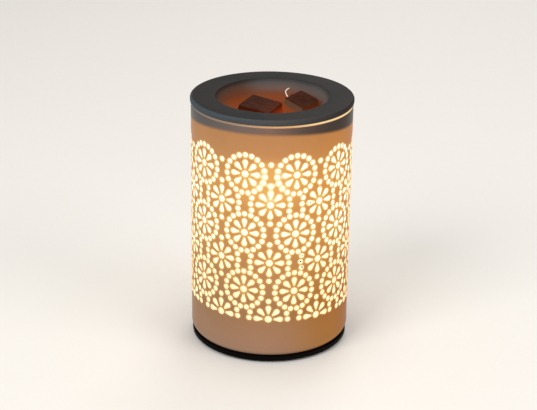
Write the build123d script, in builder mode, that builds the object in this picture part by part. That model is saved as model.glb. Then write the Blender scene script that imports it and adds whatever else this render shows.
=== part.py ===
from build123d import *
from math import radians, sqrt, tan
import os

# Electric essential oil burner: a ceramic shade lit from inside, with a loose melt dish on its rim.
# Millimetres, +Z up, origin on the table at the centre of the base. The front faces -Y, the cord inlet +Y.

# Shade
shade_radius = 48.0
shade_wall = 2.6
shade_floor = 4.0
shade_height = 144.5
shade_foot_round = 5.0
shade_rim_round = 0.8
shade_inner_round = 2.0
floor_ledge = 19.4
cord_hole_radius = 5.2
cord_height = 13.0

# Melt dish
dish_overhang = 0.6
dish_rim_thickness = 3.1
dish_edge_round = 1.4
dish_lip_round = 1.6
bowl_radius = 33.6
bowl_floor_radius = 14.0
bowl_depth = 14.0
dish_wall = 3.0
dish_ring_wall = 2.5
dish_ring_height = 3.5
dish_ring_clearance = 1.0

# Dish bumpers
bumper_radius = 1.3
bumper_height = 1.2
bumper_angles = (-10, 90, 190)

# Wax melts
left_melt_side = 19.9
left_melt_height = 6.9
left_melt_place = (-6.75, -1.9)
left_melt_rise = 9.05
left_melt_turns = (5.3, 5.2, 65.9)
right_melt_side = 14.6
right_melt_height = 4.4
right_melt_place = (17.45, 2.7)
right_melt_rise = 10.9
right_melt_turns = (14.2, 2.5, 46.9)
melt_round = 1.2
melt_draft = 8.0

# Wick end
wick_radius = 0.35
wick_point_shares = ((-0.48, 0.1, -0.08), (-0.69, 0.54, 0.06), (-0.51, 0.87, 0.18))

# Base plate
base_inset = 0.6
base_thickness = 3.0
base_ring_wall = 2.5
base_ring_clearance = 0.8
base_ring_height = 3.6
base_boss_radius = 4.0

# Rubber feet
foot_radius = 5.0
foot_protrusion = 1.0
foot_recess = 1.2
foot_inset = 11.4
foot_count = 4

# Base screws
base_screw_radius = 2.0
base_screw_head_radius = 3.5
base_screw_head_height = 2.2
base_screw_sink = 0.4
base_screw_tip = 0.8

# Floor gasket and bridge plate
gasket_thickness = 0.8
gasket_width = 7.0
bridge_overhang = 1.0
bridge_thickness = 2.0

# Stem tube, nuts and washers
stem_radius = 5.0
stem_bore = 3.6
stem_tail = 0.4
stem_slot_width = 6.0
stem_slot_height = 5.2
nut_flats = 14.0
nut_height = 3.0
washer_thickness = 0.8
washer_radius = 8.5
cover_washer_radius = 11.0

# Wiring cover
cover_gap = 3.4
cover_height = 17.0
cover_wall = 1.2
cover_round = 2.5
cover_notch_width = 9.0

# Spacer tube
spacer_radius = 7.0
spacer_length = 20.2
spacer_wall = 1.6

# Socket bracket
bracket_width = 12.0
bracket_span = 20.4
bracket_height = 12.0
bracket_thickness = 1.2
bracket_ear = 6.8

# Socket
socket_radius = 10.0
socket_back_height = 3.0
socket_body_height = 17.0
socket_round = 1.0
socket_recess_width = 16.4
socket_recess_thickness = 6.0
socket_recess_depth = 6.0
pin_spacing = 9.0
contact_cavity_width = 3.8
contact_cavity_thickness = 3.2
contact_width = 3.0
contact_thickness = 0.5
contact_slot = 1.3
contact_top_gap = 1.4
socket_screw_radius = 1.45
socket_screw_head_radius = 2.6
socket_screw_head_height = 2.0
socket_screw_reach = 5.0
socket_screw_inset = 4.0

# Lamp
lamp_seal_width = 14.8
lamp_seal_thickness = 4.2
lamp_seal_height = 10.0
lamp_bulb_radius = 6.75
lamp_bulb_length = 26.0
lamp_glass_wall = 0.8
lamp_pin_gap = 3.0
lamp_pin_width = 2.6
lamp_pin_radius = 0.45
filament_radius = 0.9
filament_length = 8.0
filament_height = 13.0
filament_support_radius = 0.35

# Terminal block
block_width = 18.0
block_depth = 16.0
block_height = 11.5
block_place = 22.0
block_edge_round = 0.8
terminal_pitch = 9.0
terminal_height = 5.7
terminal_tube_radius = 2.3
terminal_tube_bore = 1.3
terminal_tube_length = 14.0
terminal_screw_radius = 1.25
terminal_screw_spacing = 7.0
terminal_screw_length = 4.2
terminal_access_radius = 1.7
fixing_screw_radius = 1.25
fixing_screw_head_radius = 2.2
fixing_screw_head_height = 1.6
block_web = 0.5

# Leads
lead_radius = 0.8
lead_pair_gap = 0.9
lead_bend = 4.9
lead_tuck = 5.0
lead_gather_start = 2.0
lead_gather_run = 5.1
lead_spread_start = 0.6
lead_spread_run = 4.3

# Cord grommet
grommet_bore = 3.1
grommet_flange_radius = 7.0
grommet_flange_thickness = 1.2
grommet_groove_clearance = 0.1

# Fits
screw_clearance = 0.2
thread_clearance = 0.05
sliding_clearance = 0.3
overrun = 1.0

# Heights worked out from the sizes above
base_bottom = foot_protrusion
shade_bottom = base_bottom + base_thickness
floor_top = shade_bottom + shade_floor
shade_top = shade_bottom + shade_height
bridge_bottom = floor_top + gasket_thickness
bridge_top = bridge_bottom + bridge_thickness
lower_nut_bottom = bridge_bottom - washer_thickness - nut_height
stem_bottom = lower_nut_bottom - stem_tail
cover_top = floor_top + cover_height
cover_nut_bottom = cover_top + washer_thickness
spacer_bottom = cover_nut_bottom + nut_height
bracket_bottom = spacer_bottom + spacer_length
bracket_nut_bottom = bracket_bottom + bracket_thickness
socket_screw_place = bracket_span / 2 - socket_screw_inset
stem_top = bracket_nut_bottom + nut_height + washer_thickness
socket_bottom = bracket_bottom + bracket_height
socket_body_bottom = socket_bottom + socket_back_height
socket_top = socket_body_bottom + socket_body_height
lamp_bottom = socket_top - socket_recess_depth
lamp_bulb_bottom = lamp_bottom + lamp_seal_height
lamp_pin_length = lamp_bottom - socket_body_bottom - lamp_pin_gap
contact_height = lamp_bottom - socket_body_bottom - contact_top_gap
flange_bottom = shade_top + bumper_height
dish_top = flange_bottom + dish_rim_thickness
bowl_floor = dish_top - bowl_depth
terminal_axis = bridge_top + terminal_height
cord_axis = shade_bottom + cord_height
shade_inner_radius = shade_radius - shade_wall
floor_hole_radius = shade_inner_radius - floor_ledge
dish_radius = shade_radius + dish_overhang
dish_ring_radius = shade_inner_radius - dish_ring_clearance
bumper_circle = (shade_radius + shade_inner_radius) / 2
base_radius = shade_radius - base_inset
base_screw_spacing = floor_hole_radius + washer_radius
foot_circle_radius = base_radius - foot_inset
gasket_radius = floor_hole_radius + gasket_width
bridge_radius = gasket_radius + bridge_overhang
cover_radius = shade_inner_radius - cover_gap

os.makedirs("parts", exist_ok=True)


def save(part, name):
    """Labels a finished piece and writes it as one STEP file."""
    part.label = name
    export_step(part, f"parts/{name}.step")


# Shade: one ceramic cup with a holed floor, a rounded foot and a hole for the cord at the back.
# Its windows are filled with glaze flush with the wall, so the wall is whole.
with BuildPart() as shade:
    with BuildSketch(Plane.XZ):
        with BuildLine():
            Polyline(
                (floor_hole_radius, shade_bottom),
                (shade_radius, shade_bottom),
                (shade_radius, shade_top),
                (shade_inner_radius, shade_top),
                (shade_inner_radius, floor_top),
                (floor_hole_radius, floor_top),
                close=True,
            )
        make_face()
    revolve(axis=Axis.Z)
    foot_edges = shade.edges().filter_by(GeomType.CIRCLE).group_by(Axis.Z)[0]
    fillet(foot_edges.sort_by(SortBy.RADIUS)[-1], shade_foot_round)
    fillet(shade.edges().filter_by(GeomType.CIRCLE).group_by(Axis.Z)[-1], shade_rim_round)
    floor_edges = shade.edges().filter_by(GeomType.CIRCLE).filter_by_position(Axis.Z, floor_top, floor_top)
    fillet(floor_edges.sort_by(SortBy.RADIUS)[-1], shade_inner_round)
    with BuildSketch(Plane.XZ.offset(-shade_radius - overrun)):
        with Locations((0, cord_axis)):
            Circle(cord_hole_radius)
    extrude(amount=2 * shade_wall + overrun, mode=Mode.SUBTRACT)
save(shade.part, "shade")

# Base plate: a black disc under the shade, with a ring that centres it in the floor hole
with BuildPart() as base_plate:
    with BuildSketch(Plane.XY.offset(base_bottom)):
        Circle(base_radius)
    extrude(amount=base_thickness)
    fillet(base_plate.edges().group_by(Axis.Z)[0], base_thickness / 3)
    base_ring_radius = floor_hole_radius - base_ring_clearance
    with BuildSketch(Plane.XY.offset(shade_bottom)):
        Circle(base_ring_radius)
        Circle(base_ring_radius - base_ring_wall, mode=Mode.SUBTRACT)
    extrude(amount=base_ring_height)
    with BuildSketch(Plane.XY.offset(shade_bottom)):
        with GridLocations(base_screw_spacing, 0, 2, 1):
            Circle(base_boss_radius)
    extrude(amount=bridge_bottom - shade_bottom - base_screw_sink)
    with BuildSketch(Plane.XY.offset(base_bottom)):
        with GridLocations(base_screw_spacing, 0, 2, 1):
            Circle(base_screw_radius + screw_clearance)
    extrude(amount=bridge_bottom, mode=Mode.SUBTRACT)
    with BuildSketch(Plane.XY.offset(base_bottom)):
        with GridLocations(base_screw_spacing, 0, 2, 1):
            Circle(base_screw_head_radius + sliding_clearance)
    extrude(amount=base_screw_head_height + base_screw_sink, mode=Mode.SUBTRACT)
    with BuildSketch(Plane.XY.offset(base_bottom)):
        with PolarLocations(foot_circle_radius, foot_count, start_angle=180 / foot_count):
            Circle(foot_radius + screw_clearance)
    extrude(amount=foot_recess, mode=Mode.SUBTRACT)
save(base_plate.part, "base_plate")

# Rubber feet, seated in the recesses of the base plate
with BuildPart() as rubber_feet:
    with BuildSketch():
        with PolarLocations(foot_circle_radius, foot_count, start_angle=180 / foot_count):
            Circle(foot_radius)
    extrude(amount=foot_protrusion + foot_recess)
    chamfer(rubber_feet.edges().group_by(Axis.Z)[0], foot_protrusion / 3)
save(rubber_feet.part, "rubber_feet")

# Base screws, up through the bosses into the bridge plate
base_screw_seat = base_bottom + base_screw_head_height + base_screw_sink
with BuildPart() as base_screws:
    with BuildSketch(Plane.XY.offset(base_screw_seat)):
        with GridLocations(base_screw_spacing, 0, 2, 1):
            Circle(base_screw_head_radius)
    extrude(amount=-base_screw_head_height)
    with BuildSketch(Plane.XY.offset(base_screw_seat)):
        with GridLocations(base_screw_spacing, 0, 2, 1):
            Circle(base_screw_radius)
    extrude(amount=bridge_top + base_screw_tip - base_screw_seat)
save(base_screws.part, "base_screws")

# Floor gasket, between the ceramic floor and the bridge plate
with BuildPart() as floor_gasket:
    with BuildSketch(Plane.XY.offset(floor_top)):
        Circle(gasket_radius)
        Circle(floor_hole_radius, mode=Mode.SUBTRACT)
    extrude(amount=gasket_thickness)
save(floor_gasket.part, "floor_gasket")

# Bridge plate: a steel disc over the floor hole, which carries the stem and the terminal block
with BuildPart() as bridge_plate:
    with BuildSketch(Plane.XY.offset(bridge_bottom)):
        Circle(bridge_radius)
        Circle(stem_radius + sliding_clearance, mode=Mode.SUBTRACT)
        with GridLocations(base_screw_spacing, 0, 2, 1):
            Circle(base_screw_radius + thread_clearance, mode=Mode.SUBTRACT)
        with Locations((0, block_place)):
            Circle(fixing_screw_radius + thread_clearance, mode=Mode.SUBTRACT)
    extrude(amount=bridge_thickness)
save(bridge_plate.part, "bridge_plate")

# Stem tube, with a slot at the back through which the leads enter it
with BuildPart() as stem_tube:
    with BuildSketch(Plane.XY.offset(stem_bottom)):
        Circle(stem_radius)
        Circle(stem_bore, mode=Mode.SUBTRACT)
    extrude(amount=stem_top - stem_bottom)
    with BuildSketch(Plane.XZ):
        with Locations((0, terminal_axis)):
            Rectangle(stem_slot_width, stem_slot_height)
    extrude(amount=-stem_radius - overrun, mode=Mode.SUBTRACT)
save(stem_tube.part, "stem_tube")

# Nuts on the stem, from the bottom up
nut_heights = {
    "lower_nut": lower_nut_bottom,
    "plate_nut": bridge_top,
    "cover_nut": cover_nut_bottom,
    "bracket_nut": bracket_nut_bottom,
}
for nut_name, nut_bottom in nut_heights.items():
    with BuildPart() as nut:
        with BuildSketch(Plane.XY.offset(nut_bottom)):
            RegularPolygon(nut_flats / 2, 6, major_radius=False)
            Circle(stem_radius + thread_clearance, mode=Mode.SUBTRACT)
        extrude(amount=nut_height)
    save(nut.part, nut_name)

# Washers on the stem: each name's bottom height and radius
washers = {
    "lock_washer": (lower_nut_bottom + nut_height, washer_radius),
    "cover_washer": (cover_top, cover_washer_radius),
}
for washer_name, (washer_bottom, radius) in washers.items():
    with BuildPart() as washer:
        with BuildSketch(Plane.XY.offset(washer_bottom)):
            Circle(radius)
            Circle(stem_radius + screw_clearance, mode=Mode.SUBTRACT)
        extrude(amount=washer_thickness)
    save(washer.part, washer_name)

# Wiring cover: an upturned pan that stands on the ceramic floor, notched at the back for the cord
with BuildPart() as wiring_cover:
    with BuildSketch(Plane.XY.offset(floor_top)):
        Circle(cover_radius)
    extrude(amount=cover_height)
    fillet(wiring_cover.edges().group_by(Axis.Z)[-1], cover_round)
    offset(amount=-cover_wall, openings=wiring_cover.faces().sort_by(Axis.Z)[0])
    with BuildSketch(Plane.XY.offset(cover_top)):
        Circle(stem_radius + sliding_clearance)
    extrude(amount=-cover_wall - overrun, mode=Mode.SUBTRACT)
    notch_top = cord_axis + cover_notch_width / 2
    with BuildSketch(Plane.XZ):
        with Locations((0, (floor_top + notch_top) / 2)):
            Rectangle(cover_notch_width, notch_top - floor_top)
    extrude(amount=-cover_radius - overrun, mode=Mode.SUBTRACT)
save(wiring_cover.part, "wiring_cover")

# Spacer tube, between the cover nut and the socket bracket
with BuildPart() as spacer_tube:
    with BuildSketch(Plane.XY.offset(spacer_bottom)):
        Circle(spacer_radius)
        Circle(spacer_radius - spacer_wall, mode=Mode.SUBTRACT)
    extrude(amount=spacer_length)
save(spacer_tube.part, "spacer_tube")

# Socket bracket: a bent steel strip with two ears that hold the socket from below
ear_gap = bracket_span - 2 * bracket_ear
with BuildPart() as socket_bracket:
    with BuildSketch(Plane.YZ):
        with Locations((0, bracket_bottom + bracket_height / 2)):
            Rectangle(bracket_span, bracket_height)
            Rectangle(
                bracket_span - 2 * bracket_thickness,
                bracket_height - 2 * bracket_thickness,
                mode=Mode.SUBTRACT,
            )
        with Locations((0, socket_bottom)):
            Rectangle(ear_gap, 3 * bracket_thickness, mode=Mode.SUBTRACT)
    extrude(amount=bracket_width / 2, both=True)
    bends = socket_bracket.edges().filter_by(Axis.X)
    fillet(bends.group_by(Axis.Y)[0] + bends.group_by(Axis.Y)[-1], bracket_thickness)
    with BuildSketch(Plane.XY.offset(bracket_bottom)):
        Circle(stem_radius + screw_clearance)
    extrude(amount=bracket_thickness, mode=Mode.SUBTRACT)
    with BuildSketch(Plane.XY.offset(socket_bottom)):
        with GridLocations(0, 2 * socket_screw_place, 1, 2):
            Circle(socket_screw_radius + screw_clearance)
    extrude(amount=-bracket_thickness, mode=Mode.SUBTRACT)
save(socket_bracket.part, "socket_bracket")

# Socket screws, up through the bracket's ears into the socket body
socket_screw_seat = socket_bottom - bracket_thickness
with BuildPart() as socket_screws:
    with BuildSketch(Plane.XY.offset(socket_screw_seat)):
        with GridLocations(0, 2 * socket_screw_place, 1, 2):
            Circle(socket_screw_head_radius)
    extrude(amount=-socket_screw_head_height)
    with BuildSketch(Plane.XY.offset(socket_screw_seat)):
        with GridLocations(0, 2 * socket_screw_place, 1, 2):
            Circle(socket_screw_radius)
    extrude(amount=bracket_thickness + socket_screw_reach)
save(socket_screws.part, "socket_screws")

# Socket back: the steatite disc that closes the socket from below
with BuildPart() as socket_back:
    with BuildSketch(Plane.XY.offset(socket_bottom)):
        Circle(socket_radius)
        with GridLocations(0, 2 * socket_screw_place, 1, 2):
            Circle(socket_screw_radius + screw_clearance, mode=Mode.SUBTRACT)
        with GridLocations(pin_spacing, 0, 2, 1):
            Circle(lead_radius + sliding_clearance, mode=Mode.SUBTRACT)
    extrude(amount=socket_back_height)
save(socket_back.part, "socket_back")

# Socket body: steatite, with a recess for the lamp's seal and a well for each contact
with BuildPart() as socket_body:
    with BuildSketch(Plane.XY.offset(socket_body_bottom)):
        Circle(socket_radius)
    extrude(amount=socket_body_height)
    fillet(socket_body.edges().group_by(Axis.Z)[-1], socket_round)
    with BuildSketch(Plane.XY.offset(socket_top)):
        Rectangle(socket_recess_width, socket_recess_thickness)
    extrude(amount=-socket_recess_depth, mode=Mode.SUBTRACT)
    with BuildSketch(Plane.XY.offset(socket_body_bottom)):
        with GridLocations(pin_spacing, 0, 2, 1):
            Rectangle(contact_cavity_width, contact_cavity_thickness)
    extrude(amount=socket_body_height, mode=Mode.SUBTRACT)
    with BuildSketch(Plane.XY.offset(socket_body_bottom)):
        with GridLocations(0, 2 * socket_screw_place, 1, 2):
            Circle(socket_screw_radius + thread_clearance)
    extrude(amount=socket_screw_reach - socket_back_height + screw_clearance, mode=Mode.SUBTRACT)
save(socket_body.part, "socket_body")

# Socket contacts: two folded springs whose leaves grip the lamp's pins
with BuildPart() as socket_contacts:
    with BuildSketch(Plane.XY.offset(socket_body_bottom)):
        with GridLocations(pin_spacing, 0, 2, 1):
            Rectangle(contact_width, contact_slot + 2 * contact_thickness)
    extrude(amount=contact_height)
    with BuildSketch(Plane.XY.offset(socket_body_bottom + contact_thickness)):
        with GridLocations(pin_spacing, 0, 2, 1):
            Rectangle(contact_width + overrun, contact_slot)
    extrude(amount=contact_height, mode=Mode.SUBTRACT)
save(socket_contacts.part, "socket_contacts")

# Lamp glass: a hollow capsule on a flat seal
with BuildPart() as lamp_hollow:
    with BuildSketch(Plane.XY.offset(lamp_bulb_bottom + 2 * lamp_glass_wall)):
        Circle(lamp_bulb_radius - lamp_glass_wall)
    extrude(amount=lamp_bulb_length - 3 * lamp_glass_wall)
    fillet(lamp_hollow.edges().group_by(Axis.Z)[-1], lamp_bulb_radius - 2 * lamp_glass_wall)
with BuildPart() as lamp_glass:
    with BuildSketch(Plane.XY.offset(lamp_bulb_bottom)):
        Circle(lamp_bulb_radius)
    extrude(amount=lamp_bulb_length)
    fillet(lamp_glass.edges().group_by(Axis.Z)[-1], lamp_bulb_radius - lamp_glass_wall)
    fillet(lamp_glass.edges().group_by(Axis.Z)[0], lamp_glass_wall)
    with BuildSketch(Plane.XY.offset(lamp_bottom)):
        RectangleRounded(lamp_seal_width, lamp_seal_thickness, lamp_glass_wall)
    extrude(amount=lamp_seal_height)
    add(lamp_hollow.part, mode=Mode.SUBTRACT)
save(lamp_glass.part, "lamp_glass")

# Lamp pins: two loops of wire under the seal
loop_reach = lamp_pin_width / 2 - lamp_pin_radius
loop_turn = lamp_bottom - lamp_pin_length + lamp_pin_width / 2
with BuildPart() as lamp_pins:
    for pin_place in (-pin_spacing / 2, pin_spacing / 2):
        with BuildLine(Plane.XZ):
            Line((pin_place - loop_reach, lamp_bottom), (pin_place - loop_reach, loop_turn))
            ThreePointArc(
                (pin_place - loop_reach, loop_turn),
                (pin_place, loop_turn - loop_reach),
                (pin_place + loop_reach, loop_turn),
            )
            Line((pin_place + loop_reach, loop_turn), (pin_place + loop_reach, lamp_bottom))
        with BuildSketch(Plane.XY.offset(lamp_bottom)):
            with Locations((pin_place - loop_reach, 0)):
                Circle(lamp_pin_radius)
        sweep()
save(lamp_pins.part, "lamp_pins")

# Filament: the outer shape of the fine coil, lying across the capsule
filament_axis = lamp_bulb_bottom + filament_height
with BuildPart() as lamp_filament:
    with BuildSketch(Plane.YZ):
        with Locations((0, filament_axis)):
            Circle(filament_radius)
    extrude(amount=filament_length / 2, both=True)
save(lamp_filament.part, "lamp_filament")

# Filament supports, one at each end of the coil
support_foot = lamp_bulb_bottom + 2 * lamp_glass_wall
with BuildPart() as filament_supports:
    with BuildSketch(Plane.XY.offset(support_foot)):
        with GridLocations(filament_length + 2 * filament_support_radius, 0, 2, 1):
            Circle(filament_support_radius)
    extrude(amount=filament_axis + filament_support_radius - support_foot)
save(filament_supports.part, "filament_supports")

# Terminal block: a moulded block on the bridge plate that joins the leads to the cord
terminal_front = block_place - terminal_tube_length / 2
block_front = block_place - block_depth / 2
fixing_screw_seat = terminal_axis + terminal_tube_radius + block_web
with BuildPart() as terminal_block:
    with BuildSketch(Plane.XY.offset(bridge_top)):
        with Locations((0, block_place)):
            Rectangle(block_width, block_depth)
    extrude(amount=block_height)
    fillet(terminal_block.edges().filter_by(Axis.Z), block_edge_round)
    with BuildSketch(Plane.XZ.offset(-block_front)):
        with Locations((0, terminal_axis)):
            with GridLocations(terminal_pitch, 0, 2, 1):
                Circle(terminal_tube_radius + thread_clearance)
    extrude(amount=-block_depth, mode=Mode.SUBTRACT)
    with BuildSketch(Plane.XY.offset(terminal_axis)):
        with Locations((0, block_place)):
            with GridLocations(terminal_pitch, terminal_screw_spacing, 2, 2):
                Circle(terminal_access_radius)
    extrude(amount=block_height, mode=Mode.SUBTRACT)
    with BuildSketch(Plane.XY.offset(bridge_top)):
        with Locations((0, block_place)):
            Circle(fixing_screw_radius + screw_clearance)
    extrude(amount=block_height, mode=Mode.SUBTRACT)
    with BuildSketch(Plane.XY.offset(fixing_screw_seat)):
        with Locations((0, block_place)):
            Circle(fixing_screw_head_radius + screw_clearance)
    extrude(amount=block_height, mode=Mode.SUBTRACT)
save(terminal_block.part, "terminal_block")

# Terminal tubes: brass, each with two screw holes in its top
with BuildPart() as terminal_tubes:
    with BuildSketch(Plane.XZ.offset(-terminal_front)):
        with Locations((0, terminal_axis)):
            with GridLocations(terminal_pitch, 0, 2, 1):
                Circle(terminal_tube_radius)
                Circle(terminal_tube_bore, mode=Mode.SUBTRACT)
    extrude(amount=-terminal_tube_length)
    with BuildSketch(Plane.XY.offset(terminal_axis)):
        with Locations((0, block_place)):
            with GridLocations(terminal_pitch, terminal_screw_spacing, 2, 2):
                Circle(terminal_screw_radius + thread_clearance)
    extrude(amount=terminal_tube_radius + overrun, mode=Mode.SUBTRACT)
save(terminal_tubes.part, "terminal_tubes")

# Terminal screws, whose tips clamp the wires in the tubes
with BuildPart() as terminal_screws:
    with BuildSketch(Plane.XY.offset(terminal_axis + lead_radius + thread_clearance)):
        with Locations((0, block_place)):
            with GridLocations(terminal_pitch, terminal_screw_spacing, 2, 2):
                Circle(terminal_screw_radius)
    extrude(amount=terminal_screw_length)
save(terminal_screws.part, "terminal_screws")

# Terminal fixing screw, down through the block into the bridge plate
with BuildPart() as terminal_fixing_screw:
    with BuildSketch(Plane.XY.offset(fixing_screw_seat)):
        with Locations((0, block_place)):
            Circle(fixing_screw_head_radius)
    extrude(amount=fixing_screw_head_height)
    with BuildSketch(Plane.XY.offset(fixing_screw_seat)):
        with Locations((0, block_place)):
            Circle(fixing_screw_radius)
    extrude(amount=bridge_bottom - fixing_screw_seat)
save(terminal_fixing_screw.part, "terminal_fixing_screw")

# Leads: from the terminal tubes into the stem, up its bore and into the back of the socket
lead_in_stem = lead_radius + lead_pair_gap / 2
gather_start = block_front - lead_gather_start
spread_start = stem_top + lead_spread_start
for lead_name, side in {"live_lead": -1, "neutral_lead": 1}.items():
    with BuildPart() as lead:
        with BuildLine() as route:
            FilletPolyline(
                (side * terminal_pitch / 2, terminal_front + lead_tuck, terminal_axis),
                (side * terminal_pitch / 2, gather_start, terminal_axis),
                (side * lead_in_stem, gather_start - lead_gather_run, terminal_axis),
                (side * lead_in_stem, 0, terminal_axis),
                (side * lead_in_stem, 0, spread_start),
                (side * pin_spacing / 2, 0, spread_start + lead_spread_run),
                (side * pin_spacing / 2, 0, socket_body_bottom),
                radius=lead_bend,
            )
        with BuildSketch(Plane(origin=route.line @ 0, z_dir=route.line % 0)):
            Circle(lead_radius)
        sweep()
    save(lead.part, lead_name)

# Cord grommet: a rubber ring whose groove holds the wall around the cord hole
grommet_inside = shade_inner_radius - grommet_flange_thickness - shade_rim_round
with BuildPart() as cord_grommet:
    with BuildSketch(Plane.XZ.offset(-grommet_inside)):
        with Locations((0, cord_axis)):
            Circle(grommet_flange_radius)
    extrude(amount=grommet_inside - shade_radius - grommet_flange_thickness)
    with BuildSketch(Plane.XY.offset(floor_top)):
        Circle(shade_radius + thread_clearance)
        Circle(shade_inner_radius - thread_clearance, mode=Mode.SUBTRACT)
    extrude(amount=4 * grommet_flange_radius, mode=Mode.SUBTRACT)
    with BuildSketch(Plane.XZ.offset(-grommet_inside)):
        with Locations((0, cord_axis)):
            Circle(cord_hole_radius - grommet_groove_clearance)
    extrude(amount=grommet_inside - shade_radius - grommet_flange_thickness)
    with BuildSketch(Plane.XZ.offset(-grommet_inside)):
        with Locations((0, cord_axis)):
            Circle(grommet_bore)
    extrude(amount=grommet_inside - shade_radius - grommet_flange_thickness, mode=Mode.SUBTRACT)
save(cord_grommet.part, "cord_grommet")

# Melt dish: a bowl with a wide flat rim, and a ring below that keeps it centred in the shade's mouth
bowl_reach = bowl_radius - bowl_floor_radius
bowl_curve = (bowl_reach**2 + bowl_depth**2) / (2 * bowl_depth)
curve_centre = bowl_floor + bowl_curve
under_curve = bowl_curve + dish_wall
under_reach = sqrt(under_curve**2 - (curve_centre - flange_bottom) ** 2)
with BuildPart() as melt_dish:
    with BuildSketch(Plane.XZ):
        with BuildLine():
            Line((0, bowl_floor), (bowl_floor_radius, bowl_floor))
            TangentArc((bowl_floor_radius, bowl_floor), (bowl_radius, dish_top), tangent=(1, 0))
            Polyline(
                (bowl_radius, dish_top),
                (dish_radius, dish_top),
                (dish_radius, flange_bottom),
                (dish_ring_radius, flange_bottom),
                (dish_ring_radius, flange_bottom - dish_ring_height),
                (dish_ring_radius - dish_ring_wall, flange_bottom - dish_ring_height),
                (dish_ring_radius - dish_ring_wall, flange_bottom),
                (bowl_floor_radius + under_reach, flange_bottom),
            )
            TangentArc(
                (bowl_floor_radius, bowl_floor - dish_wall),
                (bowl_floor_radius + under_reach, flange_bottom),
                tangent=(1, 0),
            )
            Polyline(
                (bowl_floor_radius, bowl_floor - dish_wall),
                (0, bowl_floor - dish_wall),
                (0, bowl_floor),
            )
        make_face()
    revolve(axis=Axis.Z)
    rim_edges = melt_dish.edges().filter_by(GeomType.CIRCLE)
    fillet(rim_edges.group_by(SortBy.RADIUS)[-1], dish_edge_round)
    top_edges = melt_dish.edges().filter_by(GeomType.CIRCLE).group_by(Axis.Z)[-1]
    fillet(top_edges.sort_by(SortBy.RADIUS)[0], dish_lip_round)
save(melt_dish.part, "melt_dish")

# Dish bumpers, stuck under the dish's rim, which keep it off the shade and leave a slit of light
with BuildPart() as dish_bumpers:
    with BuildSketch(Plane.XY.offset(shade_top)):
        for angle in bumper_angles:
            with PolarLocations(bumper_circle, 1, start_angle=angle):
                Circle(bumper_radius)
    extrude(amount=bumper_height)
save(dish_bumpers.part, "dish_bumpers")

# Wick end, which stands out of the right melt in a curl
right_melt_centre = Vector(*right_melt_place, bowl_floor + right_melt_rise)
wick_route = [right_melt_centre + Vector(*shares) * right_melt_side for shares in wick_point_shares]
with BuildPart() as wick_end:
    with BuildLine() as curl:
        ThreePointArc(*wick_route)
    with BuildSketch(Plane(origin=curl.line @ 0, z_dir=curl.line % 0)):
        Circle(wick_radius)
    sweep()
save(wick_end.part, "wick_end")

# Wax melts: two blocks with drafted sides, leaning on the bowl's curve as they were dropped in
melts = {
    "left_wax_melt": (left_melt_side, left_melt_height, left_melt_place, left_melt_rise, left_melt_turns),
    "right_wax_melt": (
        right_melt_side,
        right_melt_height,
        right_melt_place,
        right_melt_rise,
        right_melt_turns,
    ),
}
for melt_name, (melt_side, melt_height, place, rise, turns) in melts.items():
    top_plane = Plane(origin=(*place, bowl_floor + rise)).rotated(turns)
    foot_side = melt_side + 2 * melt_height * tan(radians(melt_draft))
    with BuildPart() as melt:
        with BuildSketch(top_plane):
            RectangleRounded(melt_side, melt_side, melt_round)
        with BuildSketch(top_plane.offset(-melt_height)):
            RectangleRounded(foot_side, foot_side, melt_round)
        loft()
        if melt_name == "right_wax_melt":
            add(wick_end.part, mode=Mode.SUBTRACT)
    save(melt.part, melt_name)
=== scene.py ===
from math import acos, asin, atan2, cos, degrees, hypot, pi, radians, sin, tan
from random import Random

import bpy
from mathutils import Matrix, Vector
from mathutils.geometry import delaunay_2d_cdt
from mathutils.kdtree import KDTree
from mathutils.noise import fractal


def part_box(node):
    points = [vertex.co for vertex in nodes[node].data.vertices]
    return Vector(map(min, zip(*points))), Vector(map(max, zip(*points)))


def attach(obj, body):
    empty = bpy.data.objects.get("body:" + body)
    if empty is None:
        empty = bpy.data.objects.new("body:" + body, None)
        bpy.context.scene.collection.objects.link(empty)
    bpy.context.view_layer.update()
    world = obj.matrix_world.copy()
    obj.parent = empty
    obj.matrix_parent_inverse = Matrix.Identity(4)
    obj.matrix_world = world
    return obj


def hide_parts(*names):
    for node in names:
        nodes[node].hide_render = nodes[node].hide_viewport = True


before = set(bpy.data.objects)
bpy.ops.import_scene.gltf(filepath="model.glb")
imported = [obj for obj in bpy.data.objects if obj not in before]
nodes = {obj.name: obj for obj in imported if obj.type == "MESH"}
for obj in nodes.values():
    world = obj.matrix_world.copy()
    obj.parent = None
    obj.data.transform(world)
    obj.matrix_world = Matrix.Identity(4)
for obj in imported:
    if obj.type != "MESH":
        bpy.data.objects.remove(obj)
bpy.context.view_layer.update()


# The studio: a pale table top, a pale room all round and four soft lamps.
# The burner stands in the middle of the table with its front towards -Y.
class Socket:
    """An output of a node, so that the maths of a finish reads as plain Python."""

    def __init__(self, finish, output):
        self.finish = finish
        self.output = output

    def maths(self, operation, *values):
        return self.finish.node("ShaderNodeMath", {"operation": operation}, dict(enumerate(values)))

    def __add__(self, other):
        return self.maths("ADD", self, other)

    __radd__ = __add__

    def __sub__(self, other):
        return self.maths("SUBTRACT", self, other)

    def __rsub__(self, other):
        return self.maths("SUBTRACT", other, self)

    def __mul__(self, other):
        return self.maths("MULTIPLY", self, other)

    __rmul__ = __mul__

    def __truediv__(self, other):
        return self.maths("DIVIDE", self, other)

    def __pow__(self, other):
        return self.maths("POWER", self, other)


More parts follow.
